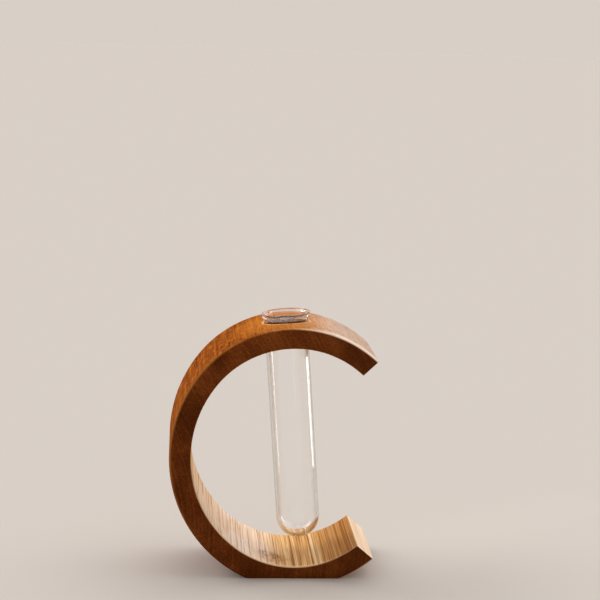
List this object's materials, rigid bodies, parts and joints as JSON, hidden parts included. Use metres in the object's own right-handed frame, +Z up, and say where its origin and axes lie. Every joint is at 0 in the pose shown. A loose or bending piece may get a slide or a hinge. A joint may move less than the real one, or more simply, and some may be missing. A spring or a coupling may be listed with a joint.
{
  "type": "test tube vase",
  "caption": "Bud vase: a round-bottomed glass test tube hangs by its flared lip in a hole drilled through the top of an open C-shaped wooden ring that stands on a flat.",
  "frame": {"origin": "on the flat that the ring stands on, under the oval's centre and at half the ring's depth", "axes": "+Z up, +X towards the ring's open side, +Y towards the back along the ring's own axis"},
  "size_m": [0.0941, 0.045, 0.1203],
  "materials": {
    "wood": "brown wood, oiled, satin; grain runs front to back",
    "glass": "clear polished borosilicate glass"
  },
  "bodies": {
    "stand": {"wooden_ring": "wood"},
    "tube": {"test_tube": "glass"}
  },
  "joints": [
    {"name": "tube_lift", "type": "slide", "parent": "stand", "child": "tube", "axis": [-0.0872, 0, 0.9962], "range_m": [0, 0.11]}
  ]
}
